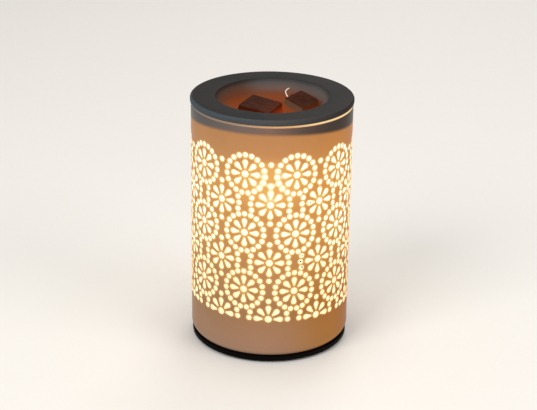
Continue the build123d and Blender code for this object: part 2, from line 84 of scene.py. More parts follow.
class Finish:
    """A material with one Principled shader, and the nodes that feed it."""

    def __init__(self, name, **constants):
        self.material = bpy.data.materials.new(name)
        self.material.use_nodes = True
        self.tree = self.material.node_tree
        self.shader = self.tree.nodes["Principled BSDF"]
        self.place = self.node("ShaderNodeTexCoord", output="Object")
        self.set(**constants)

    def node(self, kind, settings=None, inputs=None, output=0):
        made = self.tree.nodes.new(kind)
        for name, value in (settings or {}).items():
            if name == "stops":
                stops = made.color_ramp.elements
                while len(stops) < len(value):
                    stops.new(1)
                for stop, (position, shade) in zip(stops, value):
                    stop.position = position
                    stop.color = (*shade, 1)
            else:
                setattr(made, name, value)
        for key, value in (inputs or {}).items():
            self.feed(made.inputs[key], value)
        return Socket(self, made.outputs[output])

    def feed(self, socket, value):
        if isinstance(value, Socket):
            self.tree.links.new(value.output, socket)
        elif isinstance(value, tuple) and len(value) == 3 and socket.type == "RGBA":
            socket.default_value = (*value, 1)
        else:
            socket.default_value = value

    def set(self, **sockets):
        for name, value in sockets.items():
            socket_name = name.replace("_", " ").title().replace("Ior", "IOR")
            self.feed(self.shader.inputs[socket_name], value)

    def noise(self, scale, detail, place=None):
        sockets = {"Vector": place or self.place, "Scale": scale, "Detail": detail}
        return self.node("ShaderNodeTexNoise", None, sockets)

    def fade(self, value, low, high):
        """A share that grows from 0 at the first bound to 1 at the second, which may be the lower."""
        smooth = {"interpolation_type": "SMOOTHSTEP"}
        return self.node("ShaderNodeMapRange", smooth, {0: value, 1: low, 2: high})

    def mix(self, share, first, second, way="MIX"):
        colours = {"data_type": "RGBA", "blend_type": way}
        return self.node("ShaderNodeMix", colours, {0: share, 6: first, 7: second}, output=2)

    def ramp(self, value, *stops):
        return self.node("ShaderNodeValToRGB", {"stops": stops}, {0: value})

    def relief(self, height, depth):
        sockets = {"Strength": 1.0, "Distance": depth, "Height": height}
        self.set(normal=self.node("ShaderNodeBump", None, sockets))

    def glow_only(self):
        """Keeps a glowing surface from being sampled as a lamp, which would only add grain."""
        self.material.cycles.emission_sampling = "NONE"

    def axes(self, vector=None):
        split = self.node("ShaderNodeSeparateXYZ", None, {0: vector or self.place})
        return [Socket(self, output) for output in split.output.node.outputs]


def tint(*shade):
    """A screen colour of 0 to 255 as the plain light that it stands for, by the sRGB curve."""
    return tuple(((c / 255 + 0.055) / 1.055) ** 2.4 if c > 10 else c / 255 / 12.92 for c in shade)


table_finish = Finish("pale table", base_color=tint(226, 222, 216), roughness=0.75)
table_half = 4.0
table_quarters = ((-1, -1), (1, -1), (1, 1), (-1, 1))
table_corners = [(x * table_half, y * table_half, 0) for x, y in table_quarters]
table_mesh = bpy.data.meshes.new("table")
table_mesh.from_pydata(table_corners, [], [(0, 1, 2, 3)])
table_mesh.materials.append(table_finish.material)
table = bpy.data.objects.new("table", table_mesh)
bpy.context.scene.collection.objects.link(table)

room_brightness = 0.55
room = bpy.data.worlds.new("room")
room.use_nodes = True
room_light = room.node_tree.nodes["Background"].inputs
room_light["Color"].default_value = (*tint(232, 231, 229), 1)
room_light["Strength"].default_value = room_brightness
bpy.context.scene.world = room

burner_middle = Vector((0, 0, 0.076))
lamps = {
    "key lamp": ((-0.9, -1.1, 1.2), 0.9, 17.0),
    "fill lamp": ((1.2, -0.8, 0.7), 0.9, 9.0),
    "back lamp": ((0.3, 1.3, 1.1), 0.8, 6.0),
    "top lamp": ((0.0, 0.0, 1.6), 0.8, 7.0),
}
for lamp_name, (lamp_place, lamp_size, lamp_power) in lamps.items():
    lamp = bpy.data.lights.new(lamp_name, "AREA")
    lamp.size = lamp_size
    lamp.energy = lamp_power
    lamp_object = bpy.data.objects.new(lamp_name, lamp)
    lamp_object.location = lamp_place
    lamp_aim = burner_middle - Vector(lamp_place)
    lamp_object.rotation_euler = lamp_aim.to_track_quat("-Z", "Y").to_euler()
    bpy.context.scene.collection.objects.link(lamp_object)

camera_distance = 0.9316
camera_rise = radians(22.17)
camera_turn = radians(0.32)
camera_roll = radians(0.81)
camera_aim = Vector((0, 0, 0.0758))
camera_reach = cos(camera_rise)
back = Vector((sin(camera_turn) * camera_reach, -cos(camera_turn) * camera_reach, sin(camera_rise)))
level = Vector((cos(camera_turn), sin(camera_turn), 0))
upright = back.cross(level)
right = level * cos(camera_roll) + upright * sin(camera_roll)
camera = bpy.data.cameras.new("camera")
camera.sensor_width = 36
camera.lens = 102.76
camera.shift_x = -0.0038
camera.shift_y = 0.02
camera.clip_start = 0.05
camera.clip_end = 20
camera_object = bpy.data.objects.new("camera", camera)
turn = Matrix((right, back.cross(right), back)).transposed()
camera_object.matrix_world = Matrix.Translation(camera_aim + back * camera_distance) @ turn.to_4x4()
bpy.context.scene.collection.objects.link(camera_object)
bpy.context.scene.camera = camera_object
bpy.context.scene.view_settings.view_transform = "Standard"


# Shade: one porcelain cup, 96 mm across, with its wall cut in rosettes and the cuts filled with clear
# glaze, a little below the surface, which carries the lamp's light. Here each window is a shallow
# pane in the outer face with a glow of its own, and the inside of the wall is plain.
mm = 0.001


def corners_of(node):
    """The lowest and the highest corner of a CAD node, in millimetres."""
    return [[round(value / mm, 2) for value in corner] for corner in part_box(node)]


(_, _, shade_bottom), (shade_radius, _, shade_top) = corners_of("shade")
shade_wall = 2.6
shade_inner_radius = shade_radius - shade_wall
floor_thickness = 4.0
shade_floor = shade_bottom + floor_thickness
foot_round, rim_round, floor_round = 5.0, 0.8, 2.0
floor_hole_radius = 26.0
columns = 10
column_width = 2 * pi * shade_radius / columns
medallion_heights = (119.7, 83.6, 47.5)
flower_heights = (101.7, 65.6)
half_flower_height = 29.5
crown_dot_height = 126.2
eye_radius = 2.15
petal_tip, petal_tip_radius = 3.75, 0.62
petal_head, petal_head_radius = 7.05, 1.72
ring_radius, ring_dot_radius, ring_dots = 11.54, 1.66, 19
ring_step = 360 / ring_dots
petal_step = 45
all_petals = range(0, 360, petal_step)
same_place = 1e-6


def disc(along, up, radius):
    """A round window: both ends of its outline are the same circle."""
    return ((along, up, radius), (along, up, radius))


def flower(along, up, petals, dots):
    """A round eye, drop-shaped petals and the dots of the ring round them."""
    made = [disc(along, up, eye_radius)]
    for turn in map(radians, petals):
        tip = (along + petal_tip * cos(turn), up + petal_tip * sin(turn), petal_tip_radius)
        head = (along + petal_head * cos(turn), up + petal_head * sin(turn), petal_head_radius)
        made.append((tip, head))
    for turn in map(radians, dots):
        dot_along, dot_up = along + ring_radius * cos(turn), up + ring_radius * sin(turn)
        made.append(disc(dot_along, dot_up, ring_dot_radius))
    return made


def outline(window, inset, disc_steps=16, head_steps=8, tip_steps=4):
    """Points round a window, inset from its edge, anticlockwise as seen from outside."""
    (along, up, radius), (far_along, far_up, far_radius) = window
    length = hypot(far_along - along, far_up - up)
    if length == 0:
        turns = [2 * pi * k / disc_steps for k in range(disc_steps)]
        return [(along + (radius - inset) * cos(t), up + (radius - inset) * sin(t)) for t in turns]
    heading = atan2(far_up - up, far_along - along)
    half = acos((radius - far_radius) / length)
    edge_points = []
    for k in range(head_steps + 1):
        t = heading - half + 2 * half * k / head_steps
        size = far_radius - inset
        edge_points.append((far_along + size * cos(t), far_up + size * sin(t)))
    for k in range(tip_steps + 1):
        t = heading + half + 2 * (pi - half) * k / tip_steps
        size = radius - inset
        edge_points.append((along + size * cos(t), up + size * sin(t)))
    return edge_points


def edge_distance(along, up, window):
    """How far a point lies outside a window's edge, in millimetres."""
    (a, b, radius), (far_a, far_b, far_radius) = window
    run = Vector((far_a - a, far_b - b))
    here = Vector((along - a, up - b))
    share = max(0.0, min(1.0, here.dot(run) / (run.length_squared or 1.0)))
    return (here - run * share).length - radius - (far_radius - radius) * share


# One column of the pattern, from a flower's middle line to the next flower's. What stands on the
# line itself stays whole at the column's left, and what hangs over it to the left moves to its right.
drawn = [disc(0, crown_dot_height, ring_dot_radius)]
side_dots = [turn + side * ring_step for turn in (0, 180) for side in (-1, 0, 1)]
for height in flower_heights:
    drawn += flower(0, height, all_petals, side_dots + [90, 270])
half_ring = [0, ring_step, 90, 180 - ring_step, 180]
drawn += flower(0, half_flower_height, range(0, 181, petal_step), half_ring)
full_ring = [90 + k * ring_step for k in range(ring_dots)]
for height in medallion_heights:
    drawn += flower(column_width / 2, height, all_petals, full_ring)
column_windows = []
for window in drawn:
    moved = column_width * (window[0][0] + window[1][0] < -same_place)
    column_windows.append(tuple((along + moved, up, radius) for along, up, radius in window))
standing_windows = [w for w in column_windows if abs(w[0][0]) + abs(w[1][0]) < same_place]
standing_windows.sort(key=lambda window: window[0][1])
pattern_low, pattern_high = 26.0, 134.0
step_length = 1.25
column_steps = round(column_width / step_length)
turn_steps = columns * column_steps

# The column as flat points, its web triangles and the rim of each of its windows.
points, point_index = [], {}


def point(along, up):
    """The number of the point at this place, made when it is new."""
    key = (round(along, 4) + 0.0, round(up, 4))
    if key not in point_index:
        point_index[key] = len(points)
        points.append(key)
    return point_index[key]


rims = [[point(*p) for p in outline(window, 0)] for window in column_windows]
line = [(0.0, pattern_low)]
for window in standing_windows + [None]:
    left_side = [p for p in outline(window, 0) if p[0] < same_place] if window else []
    left_side.sort(key=lambda p: p[1])
    next_up = left_side[0][1] if window else pattern_high
    last_up = line[-1][1]
    steps = max(1, round((next_up - last_up) / step_length))
    line += [(0.0, last_up + (next_up - last_up) * k / steps) for k in range(1, steps)]
    line += left_side or [(0.0, pattern_high)]
left_line = [point(*p) for p in line]
right_line = [point(along + column_width, up) for along, up in line]
low_line = [point(column_width * k / column_steps, pattern_low) for k in range(column_steps + 1)]
high_line = [point(column_width * k / column_steps, pattern_high) for k in range(column_steps + 1)]
window_tree = KDTree(3 * len(column_windows))
for k, window in enumerate(column_windows):
    for shift in (-1, 0, 1):
        middle = (window[0][0] + window[1][0]) / 2 + shift * column_width
        window_tree.insert((middle, (window[0][1] + window[1][1]) / 2, 0), 3 * k + shift + 1)
window_tree.balance()
windows_near = 5


def window_gap(along, up):
    """Millimetres from a point of the wall to the nearest window's edge."""
    found = window_tree.find_n((along, up, 0), windows_near)
    shifts = [(column_windows[k // 3], (k % 3 - 1) * column_width) for _, k, _ in found]
    return min(edge_distance(along - shift, up, window) for window, shift in shifts)


web_margin = 0.38
cut_exactness = 1e-5
rows = round((pattern_high - pattern_low) / (step_length * sin(pi / 3)))
for row in range(1, rows):
    up = pattern_low + (pattern_high - pattern_low) * row / rows
    for k in range(column_steps):
        along = column_width * (k + 0.5 * (row % 2)) / column_steps
        if window_gap(along, up) > web_margin and min(along, column_width - along) > web_margin:
            point(along, up)
border = low_line[:-1] + right_line[:-1] + high_line[:0:-1] + left_line[:0:-1]
flat = [Vector(p) for p in points]
_, _, triangles, _, _, owners = delaunay_2d_cdt(flat, [], [border] + rims, 0, cut_exactness)
web = [tri for tri, owner in zip(triangles, owners) if owner == [0]]


def around(radius, along, up):
    """The place in metres of a point of the wall, at this many millimetres round from the front."""
    turn = along / shade_radius
    return (radius * mm * sin(turn), -radius * mm * cos(turn), up * mm)


pattern_middle = 75.0
pattern_lean, pattern_stretch = 0.006, 0.0022
pattern_tilt, pattern_tilt_rate = -0.7, 0.0085


def cut_at(radius, along, up):
    """The place of a point of the pattern, which was cut by hand and leans and tilts a little."""
    level = up - pattern_middle
    tilt = (pattern_tilt + pattern_tilt_rate * level) * sin(along / shade_radius)
    return around(radius, along + pattern_lean * level, up + tilt + pattern_stretch * level)


class Shell:
    """A mesh that is put together from points, faces, and one finish number for each face."""

    def __init__(self):
        self.places, self.faces, self.numbers, self.gaps = [], [], [], []

    def place(self, where, gap=0.0):
        self.places.append(where)
        self.gaps.append(gap)
        return len(self.places) - 1

    def face(self, corners, number=0):
        self.faces.append(tuple(corners))
        self.numbers.append(number)

    def band(self, low, high, number=0):
        """Four-sided faces between two rings with as many points."""
        for k in range(len(low)):
            nxt = (k + 1) % len(low)
            self.face((low[k], low[nxt], high[nxt], high[k]), number)

    def finished(self, name, *finishes, crease=40):
        """The mesh as an object of the scene, smooth but for its sharp edges."""
        mesh = bpy.data.meshes.new(name)
        used = sorted({corner for face in self.faces for corner in face})
        number_of = {corner: k for k, corner in enumerate(used)}
        mesh.from_pydata(
            [self.places[corner] for corner in used], [],
            [tuple(number_of[corner] for corner in face) for face in self.faces],
        )
        for finish in finishes:
            mesh.materials.append(finish.material)
        mesh.polygons.foreach_set("material_index", self.numbers)
        if any(self.gaps):
            gap = mesh.attributes.new("window_gap", "FLOAT", "POINT")
            gap.data.foreach_set("value", [self.gaps[corner] for corner in used])
        mesh.shade_smooth()
        mesh.set_sharp_from_angle(angle=radians(crease))
        made = bpy.data.objects.new(name, mesh)
        bpy.context.scene.collection.objects.link(made)
        return made


shell = Shell()
on_web, on_window, on_inside = range(3)
web_gap = [max(0.0, window_gap(*p)) for p in points]
window_steps = ((0.12, 0.06), (0.3, 0.3))
window_dome, window_middle_gap, petal_middle_share = 0.2, -1.0, 0.62
column_of = []
for column in range(columns):
    start = column * column_width
    places = [cut_at(shade_radius, start + along, up) for along, up in points]
    column_of.append([shell.place(where, gap) for where, gap in zip(places, web_gap)])
for column, numbers in enumerate(column_of):
    following = column_of[(column + 1) % columns]
    for here, there in zip(right_line, left_line):
        numbers[here] = following[there]
for column, numbers in enumerate(column_of):
    start = column * column_width
    for tri in web:
        shell.face([numbers[corner] for corner in tri], on_web)
    for window, rim in zip(column_windows, rims):
        outer = [numbers[corner] for corner in rim]
        for inset, depth in window_steps:
            ring = outline(window, inset)
            inner = [shell.place(cut_at(shade_radius - depth, start + a, u), -inset) for a, u in ring]
            shell.band(outer, inner, on_window)
            outer = inner
        (a, u, _), (far_a, far_u, _) = window
        middle_along = start + a + (far_a - a) * petal_middle_share
        middle_up = u + (far_u - u) * petal_middle_share
        middle_place = cut_at(shade_radius - window_dome, middle_along, middle_up)
        middle = shell.place(middle_place, window_middle_gap)
        for k, corner in enumerate(outer):
            shell.face((outer[k - 1], corner, middle), on_window)

# The plain parts of the cup, turned round its axis: the foot and the wall below the windows, the
# wall above them with its rounded rim, the inside, and the floor with its hole.
plain_gap = 9.0


def arc(across, up, radius, first, last, steps=5):
    """Points of a rounded corner about a centre, with its turns in degrees from the radius."""
    turns = [radians(first + (last - first) * k / steps) for k in range(steps + 1)]
    return [(across + radius * cos(turn), up + radius * sin(turn)) for turn in turns]


def turned_row(radius, up):
    """A ring of points round the axis."""
    alongs = [2 * pi * shade_radius * k / turn_steps for k in range(turn_steps)]
    return [shell.place(around(radius, along, up), plain_gap) for along in alongs]


low_row = [column_of[c][low_line[k]] for c in range(columns) for k in range(column_steps)]
high_row = [column_of[c][high_line[k]] for c in range(columns) for k in range(column_steps)]
cord_hole_radius, cord_height = 5.2, 17.0
hole_steps, patch_reach, patch_margin = 48, 6, 0.5
wall_heights = [10.4, 12.0, 13.8, 15.6, 17.4, 19.2, 21.0, 22.8, 24.4]
plain_heights = [136.5, 139.0, 141.5, 143.5, 145.5]
inner_heights = [60.0, 100.0]
back_step = turn_steps // 2


def holed_wall(radius, rows, number, inward):
    """The wall between rows of points, with the cord's hole at the back. It gives the hole's edge."""
    def add(corners):
        shell.face(corners[::-1] if inward else corners, number)

    patch_steps = range(back_step - patch_reach, back_step + patch_reach + 1)
    for level in range(len(rows) - 1):
        for k in range(turn_steps):
            if not (0 < level < len(rows) - 2 and k in patch_steps[:-1]):
                nxt = (k + 1) % turn_steps
                add((rows[level][k], rows[level][nxt], rows[level + 1][nxt], rows[level + 1][k]))
    step = column_width / column_steps
    flat, numbers, edge = [], [], []
    for k in range(hole_steps):
        turn = 2 * pi * k / hole_steps
        along = back_step * step + shade_radius * asin(cord_hole_radius * cos(turn) / radius)
        up = cord_height + cord_hole_radius * sin(turn)
        edge.append(shell.place(around(radius, along, up), plain_gap))
        flat.append(Vector((along, up)))
        numbers.append(edge[-1])
    grid = {}
    last = len(wall_heights)
    for level, height in enumerate(wall_heights, 1):
        for k in patch_steps:
            on_border = level in (1, last) or k in (patch_steps[0], patch_steps[-1])
            from_hole = hypot((k - back_step) * step, height - cord_height) - cord_hole_radius
            if on_border or from_hole > patch_margin:
                grid[level, k] = len(flat)
                flat.append(Vector((k * step, height)))
                numbers.append(rows[level][k])
    border = [grid[1, k] for k in patch_steps]
    border += [grid[level, patch_steps[-1]] for level in range(2, last)]
    border += [grid[last, k] for k in patch_steps[::-1]]
    border += [grid[level, patch_steps[0]] for level in range(last - 1, 1, -1)]
    cuts = [border, list(range(hole_steps))]
    _, _, triangles, _, _, owners = delaunay_2d_cdt(flat, [], cuts, 0, cut_exactness)
    for tri, owner in zip(triangles, owners):
        if owner == [0]:
            add(tuple(numbers[corner] for corner in tri))
    return edge


foot_points = arc(shade_radius - foot_round, shade_bottom + foot_round, foot_round, -90, 0, 8)
foot_rows = [turned_row(floor_hole_radius, shade_bottom)] + [turned_row(*p) for p in foot_points]
for low, high in zip(foot_rows, foot_rows[1:]):
    shell.band(low, high, on_web)
wall_rows = [turned_row(shade_radius, height) for height in wall_heights]
outer_edge = holed_wall(shade_radius, [foot_rows[-1]] + wall_rows + [low_row], on_web, False)
rim_low = shade_top - rim_round
rim_points = [(shade_radius, height) for height in plain_heights]
rim_points += arc(shade_radius - rim_round, rim_low, rim_round, 0, 90)
rim_points += arc(shade_inner_radius + rim_round, rim_low, rim_round, 90, 180)
rim_rows = [high_row] + [turned_row(*p) for p in rim_points]
for low, high in zip(rim_rows, rim_rows[1:]):
    shell.band(low, high, on_web)
floor_points = arc(shade_inner_radius - floor_round, shade_floor + floor_round, floor_round, 0, -90)
floor_rows = [turned_row(*p) for p in floor_points] + [turned_row(floor_hole_radius, shade_floor)]
inner_rows = [turned_row(shade_inner_radius, height) for height in wall_heights]
high_rows = [turned_row(shade_inner_radius, height) for height in inner_heights]
inner_rows = [floor_rows[0]] + inner_rows + [high_rows[0]]
inner_edge = holed_wall(shade_inner_radius, inner_rows, on_inside, True)
shell.band(rim_rows[-1], high_rows[1], on_inside)
shell.band(high_rows[1], high_rows[0], on_inside)
for low, high in zip(floor_rows, floor_rows[1:]):
    shell.band(low, high, on_inside)
shell.band(floor_rows[-1], foot_rows[0], on_web)
shell.band(outer_edge, inner_edge, on_web)

glaze = Finish("white porcelain glaze", roughness=0.32, specular_ior_level=0.07)
x, y, z = glaze.axes()
side = x / (shade_radius * mm)
wall_span = 0.15
# The glow of the webs is painted lamp light, by height: dim brown at the foot and most orange high in
# the wall.
web_shade = glaze.ramp(
    z / wall_span,
    (0.02, tint(104, 80, 66)),
    (0.05, tint(162, 124, 99)),
    (0.10, tint(165, 124, 95)),
    (0.22, tint(164, 119, 81)),
    (0.34, tint(183, 132, 84)),
    (0.55, tint(206, 146, 86)),
    (0.76, tint(216, 153, 89)),
    (0.88, tint(196, 138, 88)),
    (0.96, tint(188, 132, 84)),
)
# Painted light and shade: the webs glow yellower to the right and greyer to the left, and are painted
# browner and darker towards the sides and the back.
right_side = glaze.fade(side, 0.0, 0.95)
left_side = glaze.fade(side, 0.0, -1.0)
low_heights = (0.075, 0.03)
low_part = glaze.fade(z, *low_heights)
web_shade = glaze.mix(right_side, web_shade, tint(255, 245, 205), "MULTIPLY")
web_shade = glaze.mix(right_side * low_part, web_shade, tint(255, 232, 172), "MULTIPLY")
web_shade = glaze.mix(left_side * 0.6, web_shade, tint(232, 246, 255), "MULTIPLY")
far_depths = (-0.032, 0.0)
painted_far_side_shade = glaze.mix(glaze.fade(side, -0.9, 0.9), tint(228, 209, 174), tint(214, 188, 142))
web_shade = glaze.mix(glaze.fade(y, *far_depths), web_shade, painted_far_side_shade, "MULTIPLY")

# A halo of up to 0.9 mm round each window, fainter low down, and the glare of the lamp in front.
gap = glaze.node("ShaderNodeAttribute", {"attribute_name": "window_gap"}, output=2)
halo_width, halo_heights = 0.9, (0.05, 0.09)
halo = glaze.fade(gap, halo_width, 0.0)
halo = halo * (glaze.fade(z, *halo_heights) * 0.25 + 0.35)
web_shade = glaze.mix(halo, web_shade, tint(250, 192, 112))
glare_height, glare_area, glare_narrowing = 0.114, 0.00042, 0.7
glare_core_areas, glare_core_gaps = (0.00017, 0.00001), (0.75, 0.1)
glare_depths, glare_tops = (0.0, -0.03), (0.134, 0.124)
rise = z - glare_height
glare = glaze.fade(rise * rise + x * x * glare_narrowing, glare_area, 0.0)
glare = glare * glaze.fade(y, *glare_depths) * glaze.fade(z, *glare_tops)
web_shade = glaze.mix(glare * 0.6, web_shade, tint(248, 186, 100))
glare_core = glaze.fade(rise * rise + x * x, *glare_core_areas)
glare_core = glare * glare_core * glaze.fade(gap, *glare_core_gaps)
web_shade = glaze.mix(glare_core, web_shade, tint(255, 240, 190))
speck = glaze.noise(900, 2)
cloud = glaze.noise(60, 3)
clouding = glaze.fade(cloud, 0.4, 0.7) * 0.12
web_shade = glaze.mix(clouding, web_shade, tint(238, 228, 235), "MULTIPLY")

# The unlit band under the dish, which is deeper at both sides and to the right, and the lit rim.
band_depth, band_side_depth, band_right_depth = 0.0036, 0.0028, 0.002
band_edge, rim_edge = (0.1488, 0.1462), (0.1479, 0.1484)
unlit_depth = band_depth + side * side * side * side * band_side_depth
unlit_depth = unlit_depth + glaze.fade(side, 0.0, 1.0) * band_right_depth
lit = glaze.fade(z + unlit_depth, *band_edge)
unlit_shade = glaze.ramp(
    side * 0.5 + 0.5,
    (0.0, tint(80, 80, 80)),
    (0.3, tint(110, 95, 88)),
    (0.5, tint(120, 94, 80)),
    (0.7, tint(84, 68, 61)),
    (0.85, tint(66, 55, 50)),
    (1.0, tint(54, 42, 36)),
)
wall_shade = glaze.mix(lit, unlit_shade, web_shade)
rim_glow = glaze.fade(z, *rim_edge)
rim_shade = glaze.ramp(
    side * 0.5 + 0.5,
    (0.0, tint(104, 94, 88)),
    (0.3, tint(140, 116, 96)),
    (0.5, tint(194, 150, 112)),
    (0.62, tint(214, 168, 116)),
    (0.75, tint(250, 208, 150)),
    (0.95, tint(255, 220, 160)),
)
glow_share = lit * 0.7
dark = (0.0, 0.0, 0.0)
own_light = glaze.mix(glow_share, dark, wall_shade)
own_light = glaze.mix(rim_glow, own_light, rim_shade)
# The base colour takes the same painted colours, so the porcelain itself is painted with the lamp's
# light and the band's shade.
glaze.set(
    base_color=glaze.mix(glow_share, wall_shade, dark),
    emission_color=own_light,
    emission_strength=1.0,
)
glaze.relief(cloud + speck * 0.2, depth=0.00004)

window_glaze = Finish("lit window glaze", roughness=0.15, emission_strength=1.0)
gap = window_glaze.node("ShaderNodeAttribute", {"attribute_name": "window_gap"}, output=2)
window_light = window_glaze.ramp(
    gap * -1.0,
    (0.0, tint(255, 214, 136)),
    (0.3, tint(255, 246, 206)),
    (0.7, tint(255, 255, 242)),
)
_, _, z = window_glaze.axes()
dim_heights = (0.09, 0.05)
low_part = window_glaze.fade(z, *dim_heights)
window_light = window_glaze.mix(low_part, window_light, tint(252, 236, 214), "MULTIPLY")
window_glaze.set(base_color=tint(120, 110, 84), emission_color=window_light)

inside_glaze = Finish("lit inner glaze", roughness=0.3, emission_strength=0.55)
inside_glaze.set(base_color=tint(206, 186, 156), emission_color=tint(255, 214, 164))
for finish in (glaze, window_glaze, inside_glaze):
    finish.glow_only()
shade = shell.finished("shade_wall", glaze, window_glaze, inside_glaze)
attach(shade, "burner")
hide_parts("shade")


# Glaze specks: five grains of iron that burnt into the glaze of windows in the front wall when the
# cup was fired. Each is a flat dark bead, about half sunk into the glaze.
speck_iron = Finish("burnt iron specks", specular_ior_level=0.2)
crust = speck_iron.noise(3000, 2)
speck_iron.set(
    base_color=speck_iron.mix(crust, tint(14, 9, 6), tint(34, 22, 14)),
    roughness=crust * 0.3 + 0.5,
)
speck_sides, speck_rings, speck_half_depth, speck_sink = 16, 6, 0.28, 0.25
speck_spots = (
    (19.63, 68.87, 0.32),
    (18.7, 65.32, 0.5),
    (19.66, 61.59, 0.48),
    (24.12, 101.66, 0.38),
    (-22.5, 102.6, 0.25),
)
speck_shell = Shell()
speck_turns = [2 * pi * k / speck_sides for k in range(speck_sides)]
for spot_along, spot_up, spot_radius in speck_spots:
    rings = []
    for ring in range(1, speck_rings):
        tilt = pi * ring / speck_rings
        wide = spot_radius * sin(tilt)
        depth = shade_radius - speck_sink + speck_half_depth * cos(tilt)
        edge = [(spot_along + wide * cos(t), spot_up + wide * sin(t)) for t in speck_turns]
        rings.append([speck_shell.place(around(depth, *p)) for p in edge])
    for low, high in zip(rings, rings[1:]):
        speck_shell.band(high, low)
    speck_shell.face(rings[0])
    speck_shell.face(rings[-1][::-1])
specks = speck_shell.finished("glaze_specks", speck_iron, crease=60)
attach(specks, "burner")


# Base: a black moulded disc under the cup on four rubber feet, held by two screws from below.
# The plastic has a fine mould grain, and the lower edge is scuffed where it is slid about.
def dress(finish, *names):
    """Gives CAD nodes their finish on the material slots that they have."""
    for name in names:
        for slot in nodes[name].material_slots:
            slot.material = finish.material


plastic = Finish("black moulded plastic", specular_ior_level=0.03)
_, _, z = plastic.axes()
grain = plastic.noise(1800, 2)
scuff_heights = (0.0021, 0.0011)
scuff = plastic.fade(plastic.noise(160, 4), 0.58, 0.72) * plastic.fade(z, *scuff_heights)
plastic_shade = plastic.mix(grain, tint(6, 5, 5), tint(12, 10, 9))
plastic.set(
    base_color=plastic.mix(scuff, plastic_shade, tint(46, 43, 40)),
    roughness=grain * 0.2 + scuff * 0.2 + 0.42,
)
plastic.relief(grain, depth=0.00003)
dress(plastic, "base_plate")

rubber = Finish("black rubber", specular_ior_level=0.2)
pores = rubber.noise(2600, 3)
dust = rubber.fade(rubber.noise(420, 3), 0.5, 0.7) * 0.5
rubber_shade = rubber.mix(pores, tint(20, 20, 20), tint(32, 31, 30))
rubber.set(
    base_color=rubber.mix(dust, rubber_shade, tint(74, 70, 64)),
    roughness=pores * 0.2 + 0.62,
)
rubber.relief(pores, depth=0.00004)
dress(rubber, "rubber_feet", "cord_grommet")

screw_steel = Finish("bright screw steel", metallic=1.0)
smear = screw_steel.noise(900, 4)
screw_steel.set(
    base_color=screw_steel.mix(smear, tint(150, 152, 154), tint(186, 187, 188)),
    roughness=smear * 0.3 + 0.2,
)
screw_steel.relief(smear, depth=0.00002)
dress(screw_steel, "base_screws", "socket_screws", "terminal_screws", "terminal_fixing_screw")


# Works: the gasket and the zinc-plated disc that span the hole in the floor, the threaded stem with
# its nuts and washers, and the white pan over the wiring. The zinc is passivated, so its grey turns
# a little yellow and blue in patches, and rolling marks run along it.
gasket_rubber = Finish("grey foam rubber", roughness=0.85)
foam = {"Vector": gasket_rubber.place, "Scale": 1500}
cells = gasket_rubber.node("ShaderNodeTexVoronoi", None, foam)
gasket_rubber.set(base_color=gasket_rubber.mix(cells, tint(92, 94, 95), tint(126, 127, 126)))
gasket_rubber.relief(cells, depth=0.00008)
dress(gasket_rubber, "floor_gasket")
mark_squeeze = 0.08


def plated(name, first, second, roughness, marks):
    """A metal finish of two tones, with fine marks that are drawn out along X."""
    metal = Finish(name, metallic=1.0)
    x, y, z = metal.axes()
    along = metal.node("ShaderNodeCombineXYZ", None, {0: x * mark_squeeze, 1: y, 2: z})
    lines = metal.noise(marks, 3, place=along)
    patches = metal.noise(110, 4)
    metal.set(
        base_color=metal.mix(metal.fade(patches, 0.35, 0.65), first, second),
        roughness=lines * 0.18 + patches * 0.12 + roughness,
    )
    metal.relief(lines, depth=0.00001)
    return metal


zinc = plated("zinc plated steel", tint(176, 182, 190), tint(196, 192, 172), roughness=0.22, marks=3000)
dress(zinc, "bridge_plate", "lower_nut", "plate_nut", "cover_nut", "bracket_nut")
dress(zinc, "lock_washer", "cover_washer", "socket_bracket")

thread_pitch = 0.001
threaded = Finish("threaded zinc plated steel", metallic=1.0)
x, y, z = threaded.axes()
turns = threaded.node("ShaderNodeMath", {"operation": "ARCTAN2"}, {0: y, 1: x}) / (2 * pi)
flank = threaded.node("ShaderNodeMath", {"operation": "PINGPONG"}, {0: z / thread_pitch - turns, 1: 0.5})
stain = threaded.noise(300, 4)
# The thread's roots are painted a darker grey than its crests: painted shade in the grooves.
crest = flank * 2.0
crest_shade = threaded.mix(stain, tint(178, 182, 186), tint(194, 190, 172))
threaded.set(
    base_color=threaded.mix(crest, tint(120, 122, 124), crest_shade),
    roughness=stain * 0.2 + 0.25,
)
threaded.relief(flank, depth=0.0004)
dress(threaded, "stem_tube")

enamel = Finish("white painted steel", specular_ior_level=0.4)
peel = enamel.noise(750, 2)
warmed = enamel.fade(enamel.noise(70, 3), 0.4, 0.7)
enamel.set(
    base_color=enamel.mix(warmed * 0.6, tint(236, 234, 228), tint(226, 214, 190)),
    roughness=peel * 0.12 + 0.3,
)
enamel.relief(peel, depth=0.00006)
dress(enamel, "wiring_cover")

chrome = plated("chromed tube", tint(214, 216, 219), tint(226, 226, 225), roughness=0.03, marks=1800)
dress(chrome, "spacer_tube")


# Socket and lamp: two blocks of pale steatite with spring contacts, and a capsule lamp in them,
# whose tungsten coil lights the shade. The coil is wound here from one wire.
steatite = Finish("fired steatite", specular_ior_level=0.3)
clay = steatite.noise(1300, 4)
iron = steatite.fade(steatite.noise(2600, 1), 0.7, 0.76) * 0.6
clay_shade = steatite.mix(clay, tint(226, 219, 202), tint(240, 235, 222))
steatite.set(
    base_color=steatite.mix(iron, clay_shade, tint(150, 118, 84)),
    roughness=clay * 0.25 + 0.45,
)
steatite.relief(clay, depth=0.00005)
dress(steatite, "socket_back", "socket_body")

brass = plated("spring brass", tint(190, 152, 84), tint(206, 170, 102), roughness=0.24, marks=2600)
dress(brass, "socket_contacts", "terminal_tubes")

wire = plated("nickel wire", tint(166, 164, 160), tint(190, 188, 184), roughness=0.2, marks=4000)
dress(wire, "lamp_pins", "filament_supports")

